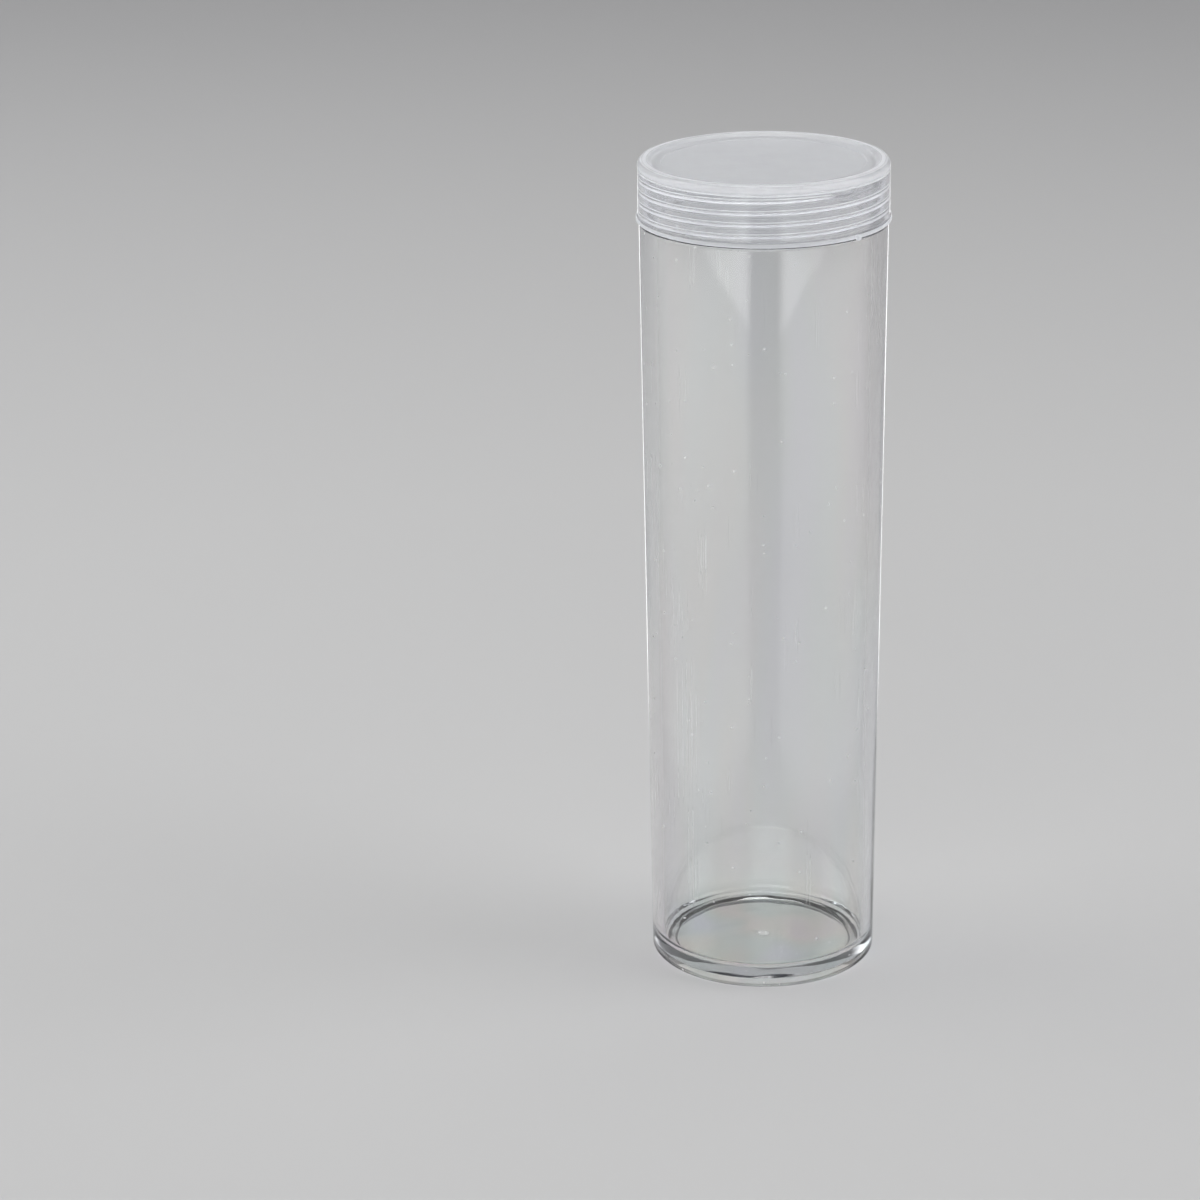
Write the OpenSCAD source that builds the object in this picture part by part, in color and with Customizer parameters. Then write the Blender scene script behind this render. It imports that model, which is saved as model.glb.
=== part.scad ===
// Round coin tube for one roll of coins: a clear, tapered, moulded tube with a threaded neck,
// and a milky screw cap whose inside thread shows through its smooth skirt.
// Millimetres. +Z runs up the tube, and the origin is the centre of the foot it stands on.
// The diameters build up from the coin outwards, and the heights from the foot upwards.

/* [Space for the coins] */
// Diameter of the coins
coin_d = 19.05; // [15:0.05:41]
// Play round the coins just above the floor, measured across the bore
coin_play = 0.55; // [0.3:0.05:1.5]
// How much wider the bore gets up to the mouth, so that the core pulls out
bore_draft = 0.6; // [0.2:0.05:1.2]
// Length inside, from the floor to the underside of the cap
inside_h = 77.3; // [40:0.1:120]

/* [Tube body] */
// Wall just above the rounded foot
base_wall = 1.15; // [0.9:0.05:2]
// Thickness of the floor
floor_t = 1.2; // [0.8:0.05:3]
// Fillet between the floor and the bore
floor_fillet = 1; // [0.2:0.05:2]
// Radius of the rounded outer corner at the foot
foot_corner = 0.7; // [0.2:0.05:1]
// Width of the foot ring, out to the body's side
foot_w = 2.3; // [1.5:0.1:4]
// Depth of the hollow inside the foot ring
hollow_depth = 0.5; // [0.3:0.05:1.5]
// Width of the slope at the hollow's side
hollow_slope = 0.15; // [0.05:0.05:0.4]
// Diameter of the gate mark at the centre of the hollow
gate_mark_d = 1.1; // [0.5:0.05:2]
// Height of the gate mark
gate_mark_h = 0.22; // [0.05:0.01:0.28]
// Rounded edge of the shoulder under the cap
shoulder_edge = 0.2; // [0.05:0.05:0.4]

/* [Neck and screw thread] */
// Wall of the neck inside its thread
neck_wall = 0.52; // [0.4:0.02:1.5]
// Rounded edge on the outside of the mouth
mouth_edge = 0.2; // [0.05:0.05:0.35]
// Height of the neck's thread ridge
neck_ridge = 0.3; // [0.15:0.01:0.5]
// Height of the cap's thread ridge
cap_ridge = 0.39; // [0.15:0.01:0.5]
// Rise of the right-hand thread in one turn
thread_pitch = 1.08; // [0.8:0.01:1.6]
// Width of a ridge where it leaves its wall
ridge_foot_w = 0.58; // [0.3:0.01:0.7]
// Width of the flat on a ridge's crest
ridge_crest_w = 0.16; // [0.05:0.01:0.25]
// Radial clearance between the crests of the two threads
thread_clearance = 0.04; // [0.02:0.01:0.1]

/* [Cap] */
// Height of the whole cap
cap_h = 5.7; // [4.5:0.1:12]
// Thickness of the cap's end, measured at the rim
cap_end_t = 1; // [0.8:0.05:2]
// Wall of the skirt outside the thread
cap_wall = 0.45; // [0.3:0.05:1.2]
// How far the skirt stands out past the top of the body
cap_proud = 0.1; // [0:0.05:0.5]
// Radius of the rounded edge round the end
cap_edge = 0.5; // [0.1:0.05:0.8]
// Width of the flat rim round the end
cap_rim_w = 0.45; // [0.2:0.05:1]
// Width of the slope from the rim down to the sunk face
cap_slope_w = 0.3; // [0.1:0.05:0.5]
// Depth of the sunk face below the rim
cap_sink = 0.3; // [0.1:0.05:0.4]
// Width of the sunk face outside its second, very shallow step
sunk_ring_w = 0.95; // [0.5:0.05:3]
// Depth of that second step
disc_step = 0.1; // [0.05:0.01:0.2]
// How far the thin lip at the open end stands out
lip_out = 0.18; // [0.05:0.01:0.4]
// Height of that lip
lip_h = 0.3; // [0.1:0.05:0.5]
// Chamfer at the open end, which leads the neck in
lead_in = 0.25; // [0.1:0.05:0.3]
// Gap between the lip and the tube's shoulder
shoulder_gap = 0.15; // [0.1:0.05:0.4]
// Diameter of the gate nub left on the lip
nub_d = 0.6; // [0.4:0.05:0.8]

/* [Fineness] */
// Facets of the round surfaces
round_steps = 96; // [48:4:160]
// Steps in one turn of the thread
thread_steps = 48; // [24:4:60]
// Steps in each rounded edge
arc_steps = 6; // [3:1:12]

/* [Hidden] */

// How deep the root of a ridge is buried in its wall
bury = 0.12;
// Distance of a ridge's end from the face it runs up to
ridge_margin = 0.05;
// Part of a turn over which a ridge rises from its wall at each end, as a share of a turn
run_out_share = 0.1;
// Direction in which the cap's ridge begins, turned from +X
thread_begin = 133;
// Direction of the gate nub, turned from +X
nub_angle = -44;
// Clearance of the gate nub from the body beside it
nub_clearance = 0.06;
// Width of the gate mark's broken end, as a share of its diameter
gate_taper_share = 0.7;

bore_base_r = (coin_d + coin_play) / 2;
mouth_r = bore_base_r + bore_draft / 2;
neck_r = mouth_r + neck_wall;
neck_crest_r = neck_r + neck_ridge;
cap_crest_r = neck_crest_r + thread_clearance;
cap_root_r = cap_crest_r + cap_ridge;
cap_r = cap_root_r + cap_wall;
lip_r = cap_r + lip_out;
body_top_r = cap_r - cap_proud;
body_base_r = bore_base_r + base_wall;
hollow_r = body_base_r - foot_w;
rim_r = cap_r - cap_edge - cap_rim_w;
disc_r = rim_r - cap_slope_w - sunk_ring_w;
nub_r = nub_d / 2;

floor_z = hollow_depth + floor_t;
mouth_z = floor_z + inside_h;
overall_h = mouth_z + cap_end_t;
lip_z = overall_h - cap_h;
shoulder_z = lip_z - shoulder_gap;
sunk_z = overall_h - cap_sink;
disc_z = sunk_z - disc_step;

// Heights of the first and last point of each ridge's centre line
cap_ridge_z = lip_z + lead_in + ridge_margin + ridge_foot_w / 2;
cap_ridge_top = mouth_z - ridge_margin - ridge_foot_w / 2;
neck_ridge_z = shoulder_z + ridge_margin + ridge_foot_w / 2;
neck_ridge_top = mouth_z - mouth_edge - ridge_margin - ridge_foot_w / 2;
cap_turns = (cap_ridge_top - cap_ridge_z) / thread_pitch;
neck_turns = (neck_ridge_top - neck_ridge_z) / thread_pitch;
// The neck's ridge runs half a pitch from the cap's, in the middle of its groove
neck_begin = thread_begin
    + 360 * ((neck_ridge_z - cap_ridge_z) / thread_pitch - 1 / 2);

// Points of an arc about a centre, from one angle to another, both ends included
function arc(centre, radius, from, to) =
    [for (i = [0 : arc_steps]) let (a = from + (to - from) * i / arc_steps)
        centre + radius * [cos(a), sin(a)]];

// How far a ridge has risen from its wall at one place along its turns, from 0 to 1
function rise_share(turn, turns) =
    sin(90 * min(1, turn / run_out_share, (turns - turn) / run_out_share));

// The four corners of a ridge's cross-section at one place along its turns. The side is 1 for
// a ridge that stands outwards and -1 for one that stands inwards, whose flats between two
// corners stay outside its crest radius.
function ridge_section(turn, turns, wall_r, ridge_h, side) =
    let (a = 360 * turn,
         height = (ridge_h + bury / 2) * rise_share(turn, turns) - bury / 2,
         crest_r = (wall_r + side * height) / (side > 0 ? 1 : cos(180 / thread_steps)),
         root_r = wall_r - side * bury,
         outline = [[root_r, -ridge_foot_w / 2], [crest_r, -ridge_crest_w / 2],
                    [crest_r, ridge_crest_w / 2], [root_r, ridge_foot_w / 2]])
    [for (p = outline) [p[0] * cos(a), p[0] * sin(a), thread_pitch * turn + p[1]]];

// Two triangles of a four-cornered face, turned over where flip is true
function two_triangles(a, b, c, d, flip) =
    flip ? [[a, c, b], [a, d, c]] : [[a, b, c], [a, c, d]];

// A right-handed helical ridge on a round wall
module ridge(turns, wall_r, ridge_h, side) {
    inward = side < 0;
    last = ceil(turns * thread_steps);
    corners = [for (i = [0 : last]) each ridge_section(turns * i / last, turns, wall_r,
                                                       ridge_h, side)];
    sides = [for (i = [0 : last - 1], k = [0 : 3])
        let (a = 4 * i + k, b = 4 * i + (k + 1) % 4)
        each two_triangles(a, b, b + 4, a + 4, inward)];
    begin = two_triangles(3, 2, 1, 0, inward);
    end = two_triangles(4 * last, 4 * last + 1, 4 * last + 2, 4 * last + 3, inward);
    polyhedron(points = corners, faces = concat(sides, begin, end), convexity = 10);
}

// Half outline of the tube, from the centre of the hollow under its floor, up the outside,
// over the mouth and down the bore
module tube_outline() {
    polygon(concat(
        [[0, hollow_depth], [hollow_r - hollow_slope, hollow_depth], [hollow_r, 0]],
        arc([body_base_r - foot_corner, foot_corner], foot_corner, -90, 0),
        arc([body_top_r - shoulder_edge, shoulder_z - shoulder_edge], shoulder_edge, 0, 90),
        [[neck_r, shoulder_z]],
        arc([neck_r - mouth_edge, mouth_z - mouth_edge], mouth_edge, 0, 90),
        [[mouth_r, mouth_z]],
        arc([bore_base_r - floor_fillet, floor_z + floor_fillet], floor_fillet, 0, -90),
        [[0, floor_z]]));
}

// Half outline of the cap, from the centre of its outer face, over the rim, down the skirt,
// round the lip and back up the inside
module cap_outline() {
    polygon(concat(
        [[0, disc_z], [disc_r - disc_step, disc_z], [disc_r, sunk_z],
         [rim_r - cap_slope_w, sunk_z], [rim_r, overall_h]],
        arc([cap_r - cap_edge, overall_h - cap_edge], cap_edge, 90, 0),
        [[cap_r, lip_z + lip_h + lip_out], [lip_r, lip_z + lip_h], [lip_r, lip_z],
         [cap_root_r + lead_in / 2, lip_z], [cap_root_r, lip_z + lead_in],
         [cap_root_r, mouth_z], [0, mouth_z]]));
}

// Clear moulded tube with its threaded neck
module tube() {
    color([0.86, 0.9, 0.93, 0.35]) {
        rotate_extrude($fn = round_steps) tube_outline();
        translate([0, 0, hollow_depth - gate_mark_h])
            cylinder(d1 = gate_mark_d * gate_taper_share, d2 = gate_mark_d,
                     h = gate_mark_h + floor_t / 2, $fn = round_steps);
        rotate([0, 0, neck_begin]) translate([0, 0, neck_ridge_z])
            ridge(neck_turns, neck_r, neck_ridge, 1);
    }
}

// Milky screw cap with its thread inside
module cap() {
    color([0.9, 0.92, 0.94, 0.75]) {
        rotate_extrude($fn = round_steps) cap_outline();
        rotate([0, 0, thread_begin]) translate([0, 0, cap_ridge_z])
            ridge(cap_turns, cap_root_r, cap_ridge, -1);
        rotate([0, 0, nub_angle])
            translate([body_top_r + nub_clearance + nub_r, 0, lip_z + lip_h / 2])
            sphere(r = nub_r, $fn = thread_steps);
    }
}

tube();
cap();
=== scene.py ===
from math import atan2, ceil, cos, hypot, pi, radians, sin, tau

import bpy
from mathutils import Matrix, Vector


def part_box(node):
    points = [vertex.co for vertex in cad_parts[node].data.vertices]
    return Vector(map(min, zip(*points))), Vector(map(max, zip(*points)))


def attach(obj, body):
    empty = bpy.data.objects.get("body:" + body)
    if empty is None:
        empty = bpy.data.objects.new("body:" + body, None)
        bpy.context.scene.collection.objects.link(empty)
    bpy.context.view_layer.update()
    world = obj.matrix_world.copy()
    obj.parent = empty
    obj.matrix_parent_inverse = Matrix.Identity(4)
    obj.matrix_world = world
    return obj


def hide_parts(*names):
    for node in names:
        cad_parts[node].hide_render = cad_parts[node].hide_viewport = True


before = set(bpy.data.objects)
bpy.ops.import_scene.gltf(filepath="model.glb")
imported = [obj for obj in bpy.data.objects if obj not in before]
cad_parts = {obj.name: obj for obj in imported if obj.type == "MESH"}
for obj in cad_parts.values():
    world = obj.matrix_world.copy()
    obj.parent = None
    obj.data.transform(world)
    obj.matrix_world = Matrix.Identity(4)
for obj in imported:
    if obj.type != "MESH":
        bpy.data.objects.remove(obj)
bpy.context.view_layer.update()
scene = bpy.context.scene
scene.view_settings.view_transform = "Standard"
# Light crosses a dozen faces of clear and milky plastic before it is through the capped tube
scene.cycles.max_bounces = scene.cycles.transmission_bounces = scene.cycles.glossy_bounces = 20

# The photographer's camera. It stands a little above the cap, in front of the tube, with a long
# lens, and looks down by some 19 degrees. Its place is fitted to the tube's outline in the photo.
LEFT_TURN, DOWN, ROLL = radians(2.554), radians(19.408), radians(-0.762)
tilt = (Matrix.Rotation(LEFT_TURN, 4, "Z") @ Matrix.Rotation(pi / 2 - DOWN, 4, "X")
        @ Matrix.Rotation(ROLL, 4, "Z"))
bpy.ops.object.camera_add(location=(0, -0.3545, 0.1613), rotation=tilt.to_euler())
camera = bpy.context.object
camera.data.sensor_width = 36
camera.data.lens = 116.3
scene.camera = camera

# The studio's round table top, painted pale and matt, whose edge curves up into a wall all round,
# a little greyer further out. Drawn out from one ring, a step at a time, as a potter throws a bowl.
MM = 0.001


class Wire:
    """An output in a material's node tree. Sums on wires add the Math nodes they stand for."""

    def __init__(self, tree, socket=None):
        self.tree, self.socket = tree, socket

    def node(self, kind, sockets=(), out=0, **settings):
        """A new node with its settings, then the values and wires of its sockets."""
        made = self.tree.nodes.new("ShaderNode" + kind)
        stops = settings.pop("stops", ())
        for name, value in settings.items():
            setattr(made, name, value)
        if stops:
            bands = made.color_ramp.elements
            while len(bands) < len(stops):
                bands.new(1)
            for band, (place, shade) in zip(bands, stops):
                band.position, band.color = place, (*shade, 1)
        for name, value in dict(sockets).items():
            if isinstance(value, Wire):
                self.tree.links.new(value.socket, made.inputs[name])
            else:
                made.inputs[name].default_value = value
        return Wire(self.tree, made.outputs[out] if made.outputs else None)

    def sum(self, operation, *values):
        return self.node("Math", enumerate(values), operation=operation)

    def __add__(self, other):
        return self.sum("ADD", self, other)

    def __sub__(self, other):
        return self.sum("SUBTRACT", self, other)

    def __rsub__(self, other):
        return self.sum("SUBTRACT", other, self)

    def __mul__(self, other):
        return self.sum("MULTIPLY", self, other)

    def __lt__(self, other):
        return self.sum("LESS_THAN", self, other)

    __radd__, __rmul__ = __add__, __mul__


def ramp(wire, low, high, start=0.0, end=1.0):
    """A smooth step from start to end, as a wire goes from low to high."""
    return wire.node("MapRange", {"Value": wire, "From Min": low, "From Max": high,
                                  "To Min": start, "To Max": end}, interpolation_type="SMOOTHSTEP")


def new_material(name, piece):
    """An empty node material on a piece, as a wire that its nodes hang from."""
    material = bpy.data.materials.new(name)
    material.use_nodes = True
    material.node_tree.nodes.clear()
    piece.data.materials.clear()
    piece.data.materials.append(material)
    return Wire(material.node_tree)


def turned(name, outline, facets):
    """A round piece drawn from one ring, which is extruded to each (radius, height) in turn."""
    (radius, height), *others = outline
    bpy.ops.mesh.primitive_circle_add(vertices=facets, radius=radius, location=(0, 0, height))
    piece = bpy.context.object
    piece.name = name
    bpy.ops.object.transform_apply()
    bpy.ops.object.mode_set(mode="EDIT")
    for new_radius, new_height in others:
        bpy.ops.mesh.extrude_region()
        if new_radius:
            wider = new_radius / radius
            bpy.ops.transform.resize(value=(wider, wider, 1), center_override=(0, 0, height))
        else:
            bpy.ops.mesh.merge(type="CENTER")
        bpy.ops.transform.translate(value=(0, 0, new_height - height))
        radius, height = new_radius, new_height
    bpy.ops.object.mode_set(mode="OBJECT")
    return piece


def close(piece, facets, inside):
    """Fills the ring that a turned piece was begun from, and turns all its faces one way."""
    bpy.ops.object.mode_set(mode="EDIT")
    bpy.ops.mesh.select_all(action="SELECT")
    bpy.ops.mesh.fill_holes(sides=facets)
    bpy.ops.mesh.normals_make_consistent(inside=inside)
    bpy.ops.object.mode_set(mode="OBJECT")


TABLE, FLAT, CURVE, WALL = -0.05 * MM, 0.7, 0.4, 1.1
TABLE_FACETS = 96
bowl = [(radius, TABLE) for radius in (0.02, 0.2, 0.45, FLAT)]
bend = [i * pi / 20 for i in range(1, 11)]
bowl += [(FLAT + CURVE * sin(a), TABLE + CURVE * (1 - cos(a))) for a in bend]
bowl += [(FLAT + CURVE, WALL)]
table = turned("table_top", bowl, TABLE_FACETS)
close(table, TABLE_FACETS, inside=True)
bpy.ops.object.shade_smooth_by_angle(angle=radians(40))
paint = new_material("pale_paint", table)
place = paint.node("TexCoord", out="Object")
distance = place.node("VectorMath", {0: place}, out="Value", operation="LENGTH")
shade = distance.node("ValToRGB", {0: distance}, stops=[
    (0.15, (0.58, 0.58, 0.58)), (0.5, (0.49, 0.49, 0.495)),
    (0.9, (0.44, 0.44, 0.445)), (1.0, (0.42, 0.42, 0.425))])
matt = paint.node("BsdfPrincipled", {"Base Color": shade, "Roughness": 1.0, "Specular IOR Level": 0.0})
paint.node("OutputMaterial", {"Surface": matt})

# The lamps are soft boxes, wide and dim so that nothing flat mirrors one as white: overhead, at each
# side and in front. Four upright ones close to the tube show only as gloss on its sides, wide and
# wedge-shaped in front, and slim behind for the thin bright lines down its two edges.
AIM_HEIGHT = 0.04
# A front gloss lamp is brighter in a wedge that opens upwards, close to its inner side. Its point's
# height and width, its spread and its soft edge are all shares of the lamp.
WEDGE_POINT, POINT_WIDTH, WEDGE_SPREAD, WEDGE_EDGE = 0.69, 0.05, 1.8, 0.06


def fading(place, risen, falling):
    """A lamp's light along one side: none at both ends, and full between two places on it."""
    return ramp(place, 0, risen) * ramp(place, 1, falling)


for name, spot, size, bright in [
        ("overhead", (0.0, 0.2, 0.95), (0.9, 0.7), 3.2),
        ("left_side", (-0.62, 0.12, 0.42), (0.9, 0.75), 2.14),
        ("right_side", (0.6, -0.05, 0.42), (0.75, 0.75), 1.87),
        ("front", (-0.15, -0.8, 0.42), (1.0, 0.6), 2.4),
        ("left_gloss", (-0.0353, -0.0188, 0.036), (0.110, 0.072), 2.6),
        ("right_gloss", (0.0353, -0.0188, 0.036), (0.102, 0.072), 2.4),
        ("left_edge_gloss", (-0.0187, 0.0464, 0.036), (0.007, 0.072), 2.0),
        ("right_edge_gloss", (0.0187, 0.0464, 0.036), (0.007, 0.072), 2.0)]:
    bpy.ops.object.light_add(type="AREA", location=spot)
    lamp = bpy.context.object
    lamp.name = name
    lamp.data.shape = "RECTANGLE"
    lamp.data.size, lamp.data.size_y = size
    lamp.data.energy = bright * pi * size[0] * size[1]
    aim = Vector((0, 0, min(spot[2], AIM_HEIGHT)))
    lamp.rotation_euler = (Vector(spot) - aim).to_track_quat("Z", "Y").to_euler()
    lamp.visible_camera = False
    if "gloss" in name:
        lamp.visible_diffuse = lamp.visible_transmission = False
    lamp.data.use_nodes = True
    lamp.data.node_tree.nodes.clear()
    box = Wire(lamp.data.node_tree)
    spread = box.node("NewGeometry", out="Parametric")
    across, up = [spread.node("SeparateXYZ", {0: spread}, out=axis) for axis in "XY"]
    glow = fading(across, 0.3, 0.7) * fading(up, 0.25, 0.85)
    if name in ("left_gloss", "right_gloss"):
        inner = 1 - across if name == "left_gloss" else across
        wedge = ramp((up - WEDGE_POINT) * WEDGE_SPREAD + POINT_WIDTH - inner, 0, WEDGE_EDGE)
        glow = fading(inner, 0.15, 0.45) * fading(up, 0.15, 0.85)
        glow = glow * (0.35 + ramp(up, 0.35, 0.85) * 0.4 + wedge * 0.6)
    box.node("OutputLight", {"Surface": box.node("Emission", {"Strength": glow})})
world = bpy.data.worlds.new("studio_air")
scene.world = world
world.use_nodes = True
world.node_tree.nodes["Background"].inputs["Color"].default_value = (0.55, 0.56, 0.58, 1)
world.node_tree.nodes["Background"].inputs["Strength"].default_value = 0.35

# The tube: one injection moulding of clear polystyrene. Its body tapers down to a rounded foot
# ring round a shallow hollow with the gate mark, and its neck carries a fine screw thread.
FACETS = 192
BODY_TOP, _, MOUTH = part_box("tube")[1]
BODY_FOOT, FOOT_RING, HOLLOW, GATE = 10.943 * MM, 8.65 * MM, 8.5 * MM, 0.55 * MM
NECK, BORE_MOUTH, BORE_FOOT = 10.62 * MM, 10.1 * MM, 9.792 * MM
HOLLOW_TOP, GATE_END, FLOOR, SHOULDER = 0.5 * MM, 0.28 * MM, 1.7 * MM, 74.15 * MM
HOLLOW_RING, FLOOR_RING = 4 * MM, 5 * MM
PITCH, RIDGE_FOOT, RIDGE_CREST, BURIED = 1.08 * MM, 0.58 * MM, 0.16 * MM, 0.12 * MM
NECK_RIDGE, CAP_RIDGE, CREST_ROUNDING, RUN_OUT_TURNS = 0.3 * MM, 0.39 * MM, 0.04 * MM, 0.1
NECK_THREAD, CAP_THREAD = (74.49 * MM, 78.46 * MM), (74.89 * MM, 78.66 * MM)
CAP_BEGIN = radians(133)
NECK_BEGIN = CAP_BEGIN + tau * ((NECK_THREAD[0] - CAP_THREAD[0]) / PITCH - 0.5)


def pick(piece, kind, wanted):
    """In edit mode, selects only the VERT, EDGE or FACE parts whose corner points are wanted."""
    bpy.ops.object.mode_set(mode="EDIT")
    bpy.ops.mesh.select_mode(type=kind)
    bpy.ops.mesh.select_all(action="DESELECT")
    bpy.ops.object.mode_set(mode="OBJECT")
    mesh = piece.data
    parts = {"VERT": mesh.vertices, "EDGE": mesh.edges, "FACE": mesh.polygons}[kind]
    good = [wanted(corner.co) for corner in mesh.vertices]
    for part in parts:
        part.select = good[part.index] if kind == "VERT" else all(good[i] for i in part.vertices)
    bpy.ops.object.mode_set(mode="EDIT")


def on_ring(radius, height, near=0.01 * MM):
    """A test for points on one ring round the axis."""
    return lambda p: abs(hypot(p.x, p.y) - radius) < near and abs(p.z - height) < near


def round_off(piece, edges):
    """Bevels ring edges, each given as its radius, height, rounding and steps."""
    for radius, height, rounding, steps in edges:
        pick(piece, "EDGE", on_ring(radius, height))
        bpy.ops.mesh.bevel(offset=rounding, segments=steps, profile=0.5, affect="EDGES")
    bpy.ops.object.mode_set(mode="OBJECT")


def thread(name, wall, rise, side, bottom, top, begin):
    """A screw thread's ridge, out from a wall for side 1 or in for -1, wound by a Screw modifier."""
    turns = (top - bottom) / PITCH
    steps = ceil(turns * FACETS / 2)
    root, crest = wall - side * BURIED, wall + side * rise
    bpy.ops.mesh.primitive_plane_add(size=1, location=((root + crest) / 2, 0, bottom),
                                     rotation=(pi / 2, 0, 0))
    ridge = bpy.context.object
    ridge.name = name
    ridge.scale = (abs(crest - root), RIDGE_FOOT, 1)
    bpy.ops.object.transform_apply()
    pick(ridge, "VERT", lambda p: abs(p.x - crest) < 0.01 * MM)
    bpy.ops.transform.resize(value=(1, 1, RIDGE_CREST / RIDGE_FOOT), center_override=(crest, 0, bottom))
    bpy.ops.mesh.bevel(offset=CREST_ROUNDING, segments=2, affect="VERTICES")
    bpy.ops.mesh.select_all(action="SELECT")
    bpy.ops.mesh.delete(type="ONLY_FACE")
    bpy.ops.object.mode_set(mode="OBJECT")
    screw = ridge.modifiers.new("winding", "SCREW")
    screw.angle, screw.screw_offset = tau * turns, PITCH * turns
    screw.steps = screw.render_steps = steps
    screw.use_merge_vertices = False
    bpy.ops.object.modifier_apply(modifier=screw.name)
    # The ridge sinks into its wall over a short part of a turn at each end
    for step in range(steps + 1):
        turn = turns * step / steps
        share = min(turn, turns - turn) / RUN_OUT_TURNS
        if share >= 1:
            continue
        sunk = wall + side * ((rise + BURIED / 2) * sin(pi / 2 * share) - BURIED / 2)
        middle = bottom + PITCH * turn

        def in_crest(p):
            off = (atan2(p.y, p.x) - tau * turn) % tau
            return min(off, tau - off) < tau * turns / steps / 2 and abs(p.z - middle) < RIDGE_FOOT * 0.4
        pick(ridge, "VERT", in_crest)
        bpy.ops.transform.resize(value=(sunk / crest, sunk / crest, 1), center_override=(0, 0, middle))
    bpy.ops.mesh.select_all(action="SELECT")
    bpy.ops.mesh.fill_holes(sides=12)
    bpy.ops.mesh.normals_make_consistent(inside=False)
    bpy.ops.object.mode_set(mode="OBJECT")
    ridge.rotation_euler.z = begin
    bpy.ops.object.transform_apply()
    return ridge


def fuse(body, other):
    """Joins a second solid to a piece with an exact Boolean union, and deletes it."""
    joint = body.modifiers.new("fuse", "BOOLEAN")
    joint.object, joint.operation, joint.solver = other, "UNION", "EXACT"
    bpy.context.view_layer.objects.active = body
    bpy.ops.object.modifier_apply(modifier=joint.name)
    bpy.data.objects.remove(other)


def finish_piece(piece, body, node):
    """Smooths a piece's round faces, leaves its flat ones flat, and hangs it on its CAD body."""
    bpy.ops.object.select_all(action="DESELECT")
    piece.select_set(True)
    bpy.context.view_layer.objects.active = piece
    bpy.ops.object.shade_smooth_by_angle(angle=radians(24))
    flats = piece.modifiers.new("flats", "WEIGHTED_NORMAL")
    flats.keep_sharp = True
    bpy.ops.object.modifier_apply(modifier=flats.name)
    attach(piece, body)
    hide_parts(node)


bpy.ops.object.select_all(action="DESELECT")
tube = turned("clear_tube", [
    (GATE * 0.7, GATE_END), (GATE, HOLLOW_TOP), (HOLLOW_RING, HOLLOW_TOP), (HOLLOW, HOLLOW_TOP),
    (FOOT_RING, 0), (BODY_FOOT, 0), (BODY_TOP, SHOULDER), (NECK, SHOULDER), (NECK, MOUTH),
    (BORE_MOUTH, MOUTH), (BORE_FOOT, FLOOR), (FLOOR_RING, FLOOR), (0, FLOOR)], FACETS)
close(tube, FACETS, inside=False)
round_off(tube, [
    (BODY_FOOT, 0, 0.7 * MM, 8), (BODY_TOP, SHOULDER, 0.2 * MM, 4), (NECK, MOUTH, 0.2 * MM, 4),
    (BORE_MOUTH, MOUTH, 0.05 * MM, 2), (BORE_FOOT, FLOOR, 1 * MM, 8),
    (HOLLOW, HOLLOW_TOP, 0.06 * MM, 2), (FOOT_RING, 0, 0.05 * MM, 2)])
fuse(tube, thread("neck_ridge", NECK, NECK_RIDGE, 1, *NECK_THREAD, NECK_BEGIN))


def stretched(place, x, y, z):
    """A place scaled by so many repeats a metre along each axis."""
    return place.node("VectorMath", {0: place, 1: (x, y, z)}, operation="MULTIPLY")


def whereabouts(look):
    """Wires for a point's place on its piece, the same at floor level, its radius and its height."""
    place = look.node("TexCoord", out="Object")
    flat = stretched(place, 1, 1, 0)
    radius = flat.node("VectorMath", {0: flat}, out="Value", operation="LENGTH")
    return place, flat, radius, place.node("SeparateXYZ", {0: place}, out="Z")


def specks(place, cells, size, share):
    """A mask of small round specks, one in a share of the cells of a 3-D grid."""
    grid = {"Vector": place, "Scale": cells}
    near = place.node("TexVoronoi", grid, out="Distance")
    lot = place.node("TexVoronoi", grid, out="Color")
    return ramp(near, size, size * 0.6) * (lot.node("SeparateColor", {0: lot}, out="Red") < share)


def lines(upright, fineness, length):
    """Noise drawn out into upright lines: so many to a radian, and a length in metres."""
    return upright.node("TexNoise", {"Vector": stretched(upright, fineness, fineness, 1 / length),
                                     "Scale": 1.0, "Detail": 1.0})


def let_lamps_through(look, surface, shadow, **inside):
    """Ends a material. Lamplight falls straight through it, so the shadow is as pale as a real one."""
    bare = look.node("BsdfTransparent", {"Color": shadow})
    lamp_ray = look.node("LightPath", out="Is Shadow Ray")
    cover = look.node("MixShader", {0: lamp_ray, 1: surface, 2: bare})
    look.node("OutputMaterial", {"Surface": cover, **inside})


# Fine upright scratches lie on the wall in loose sheaves, among specks of dust, and the gate mark is
# frosted. The flow of the melt has left soft waves, and faint stress colours, strongest at the foot.
look = new_material("clear_polystyrene", tube)
place, flat, radius, height = whereabouts(look)
round_it = flat.node("VectorMath", {0: flat}, operation="NORMALIZE")
upright = round_it.node("VectorMath", {0: round_it, 1: stretched(place, 0, 0, 1)}, operation="ADD")
sheaf = lines(upright, 2.2, 0.016)
scratches = (ramp(lines(upright, 75, 0.4), 0.60, 0.66) * ramp(lines(upright, 30, 0.009), 0.54, 0.62)
             * ramp(sheaf, 0.55, 0.64) * ramp(height, 3 * MM, 6 * MM))
dust = specks(place, 620, 0.10, 0.22)
gate = ramp(radius, 0.75 * MM, 0.5 * MM) * ramp(height, 0.6 * MM, 0.45 * MM)
swirl = place.node("TexNoise", {"Vector": stretched(place, 130, 130, 22), "Scale": 1.0, "Detail": 1.0,
                                "Distortion": 0.6})
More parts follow.
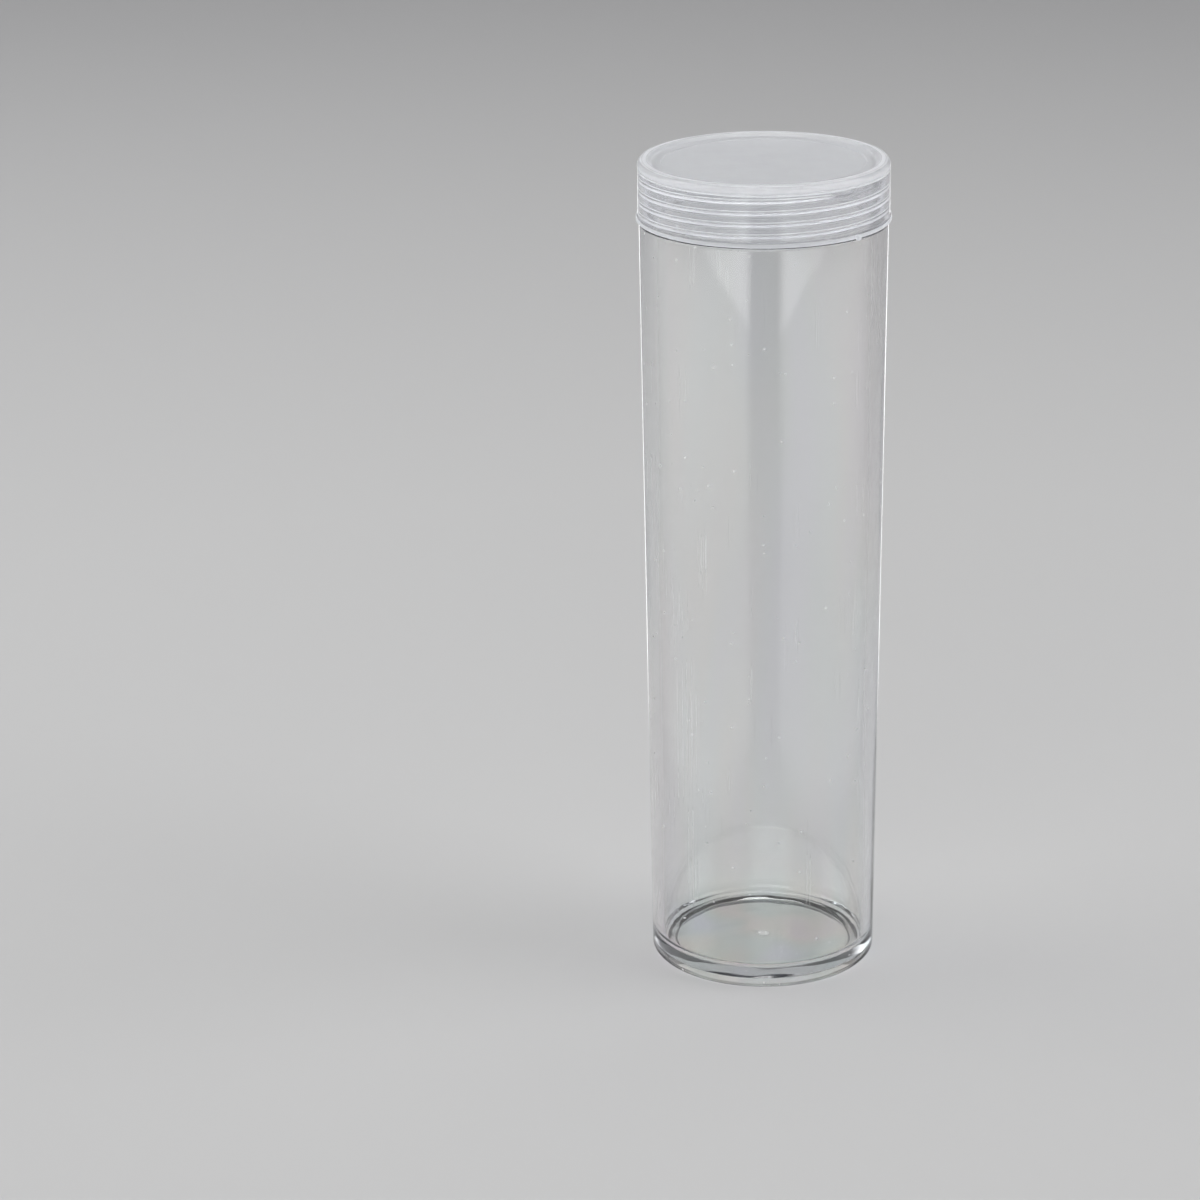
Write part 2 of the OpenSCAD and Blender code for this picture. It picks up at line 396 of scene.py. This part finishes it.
draw = lines(upright, 12, 0.05) * ramp(height, 2 * MM, 5 * MM)
waves = place.node("Bump", {"Height": swirl + draw * 0.02, "Distance": 0.12 * MM, "Strength": 1.0},
                   out="Normal")
colours = swirl.node("ValToRGB", {0: swirl}, stops=[
    (0.30, (0.985, 0.915, 0.950)), (0.42, (0.990, 0.960, 0.900)),
    (0.54, (0.920, 0.980, 0.940)), (0.68, (0.935, 0.945, 0.990))])
stress = ramp(height, 5 * MM, 1 * MM, 0.25, 1.0)
tint = place.node("Mix", {"Factor": stress, "A": (0.967, 0.967, 0.972, 1), "B": colours}, out="Result",
                  data_type="RGBA")
rough = 0.012 + scratches * 0.2 + ramp(sheaf, 0.45, 0.7) * 0.015
clear = look.node("BsdfPrincipled", {"Base Color": tint, "Roughness": rough, "IOR": 1.59,
                                     "Transmission Weight": 1.0, "Normal": waves})
white = look.node("BsdfDiffuse", {"Color": (0.9, 0.9, 0.9, 1)})
worn = look.node("MixShader", {0: dust * 0.95 + scratches * 0.45 + gate * 0.5, 1: clear, 2: white})
depth = look.node("VolumeAbsorption", {"Color": (0.80, 0.81, 0.83, 1), "Density": 110})
let_lamps_through(look, worn, (0.89, 0.89, 0.90, 1), Volume=depth)
finish_piece(tube, "tube", "tube")

# The cap: one moulding of milky polyethylene, which screws onto the neck. Its end is sunk inside
# a raised rim, its smooth skirt shows the thread inside, and its lip carries the gate nub.
LIP, _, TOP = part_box("cap")[1]
SKIRT, SOCKET, LEAD_IN = 11.8 * MM, 11.35 * MM, 11.475 * MM
RIM, RING, RING_IN, DISC = 10.85 * MM, 10.55 * MM, 9.6 * MM, 9.5 * MM
DISC_RING, UNDER_RING = 5 * MM, 6 * MM
SUNK, DISC_TOP = 79.7 * MM, 79.6 * MM
LIP_UNDER, LEAD_TOP, LIP_TOP, SKIRT_END = 74.3 * MM, 74.55 * MM, 74.6 * MM, 74.78 * MM
bpy.ops.object.select_all(action="DESELECT")
cap = turned("screw_cap", [
    (DISC_RING, DISC_TOP), (DISC, DISC_TOP), (RING_IN, SUNK), (RING, SUNK), (RIM, TOP), (SKIRT, TOP),
    (SKIRT, SKIRT_END), (LIP, LIP_TOP), (LIP, LIP_UNDER), (LEAD_IN, LIP_UNDER), (SOCKET, LEAD_TOP),
    (SOCKET, MOUTH), (UNDER_RING, MOUTH), (0, MOUTH)], FACETS)
close(cap, FACETS, inside=False)
round_off(cap, [
    (SKIRT, TOP, 0.5 * MM, 8), (RIM, TOP, 0.1 * MM, 3), (RING, SUNK, 0.1 * MM, 3),
    (RING_IN, SUNK, 0.04 * MM, 2), (DISC, DISC_TOP, 0.04 * MM, 2), (SKIRT, SKIRT_END, 0.06 * MM, 2),
    (LIP, LIP_TOP, 0.05 * MM, 2), (LIP, LIP_UNDER, 0.06 * MM, 2), (LEAD_IN, LIP_UNDER, 0.04 * MM, 2),
    (SOCKET, MOUTH, 0.12 * MM, 3)])
fuse(cap, thread("cap_ridge", SOCKET, CAP_RIDGE, -1, *CAP_THREAD, CAP_BEGIN))
NUB_SIDE, NUB_OUT, NUB_RADIUS = radians(-44), 12.06 * MM, 0.3 * MM
bpy.ops.mesh.primitive_ico_sphere_add(subdivisions=3, radius=NUB_RADIUS)
nub = bpy.context.object
nub.data.transform(Matrix.Rotation(NUB_SIDE, 4, "Z")
                   @ Matrix.Translation((NUB_OUT, 0, (LIP_UNDER + LIP_TOP) / 2)))
fuse(cap, nub)

# The thin wall in the grooves lets the neck show through, and painted shade darkens the faces of the
# grooves. The thicker ridges are milky, and a painted highlight makes their lower sides whiter.
# The end, the rim, the lip and the nub are milkiest. The end is the least glossy.
look = new_material("milky_polyethylene", cap)
place, flat, radius, height = whereabouts(look)
facing = place.node("SeparateXYZ", {0: place.node("TexCoord", out="Normal")}, out="Z")
skin = ramp(radius, 11.5 * MM, 11.6 * MM)
flank = ramp(radius, 10.97 * MM, 11.01 * MM) * ramp(radius, SOCKET, 11.31 * MM)
# Painted shade: the faces of the grooves between the ridges get a darker colour
painted_groove_shade = ramp(radius, 11.29 * MM, 11.34 * MM) * (1 - skin) * ramp(height, 78.9 * MM, 78.8 * MM)
end_face = ramp(height, 78.9 * MM, 79.3 * MM) * (1 - skin)
rim = ramp(radius, 10.7 * MM, 11.1 * MM) * ramp(height, MOUTH, 79.4 * MM)
lip = ramp(radius, 11.86 * MM, 11.92 * MM) * ramp(height, 74.7 * MM, 74.65 * MM)
on_nub = ramp(radius, 11.99 * MM, 12.02 * MM)
clouds = place.node("TexNoise", {"Vector": place, "Scale": 420.0, "Detail": 4.0, "Roughness": 0.6})
milkiness_and_painted_highlight = 0.09 + clouds * 0.10 - skin * 0.03 + lip * 0.75 + on_nub * 0.5
milkiness_and_painted_highlight = milkiness_and_painted_highlight + end_face * (0.31 - clouds * 0.06) + rim * 0.22
# Painted highlight: flanks that face down are made whiter than flanks that face up
milkiness_and_painted_highlight = milkiness_and_painted_highlight + flank * (ramp(facing, -0.3, -0.6) * 0.8 + ramp(facing, 0.3, 0.6) * 0.3)
dust = specks(place, 480, 0.075, 0.05)
grain = place.node("TexNoise", {"Vector": place, "Scale": 5200.0, "Detail": 2.0})
satin = place.node("Bump", {"Height": grain * 0.3 + clouds, "Distance": 0.003 * MM, "Strength": 1.0},
                   out="Normal")
# The veil's colour, with the painted shade of the grooves mixed in
veil_colour_and_painted_shade = place.node("Mix", {"Factor": painted_groove_shade, "A": (0.93, 0.935, 0.945, 1), "B": (0.78, 0.79, 0.82, 1)},
                  out="Result", data_type="RGBA")
rough = 0.04 + clouds * 0.05 + end_face * 0.16
veil = look.node("BsdfPrincipled", {"Base Color": veil_colour_and_painted_shade, "Roughness": rough, "IOR": 1.5,
                                    "Transmission Weight": 1.0, "Normal": satin})
chalk = look.node("BsdfDiffuse", {"Color": (0.89, 0.90, 0.92, 1)})
glow = look.node("BsdfTranslucent", {"Color": (0.89, 0.90, 0.92, 1)})
milk = look.node("MixShader", {0: 0.5, 1: chalk, 2: glow})
milky = look.node("MixShader", {0: milkiness_and_painted_highlight + dust * 0.6, 1: veil, 2: milk})
let_lamps_through(look, milky, (0.92, 0.92, 0.93, 1))
finish_piece(cap, "cap", "cap")
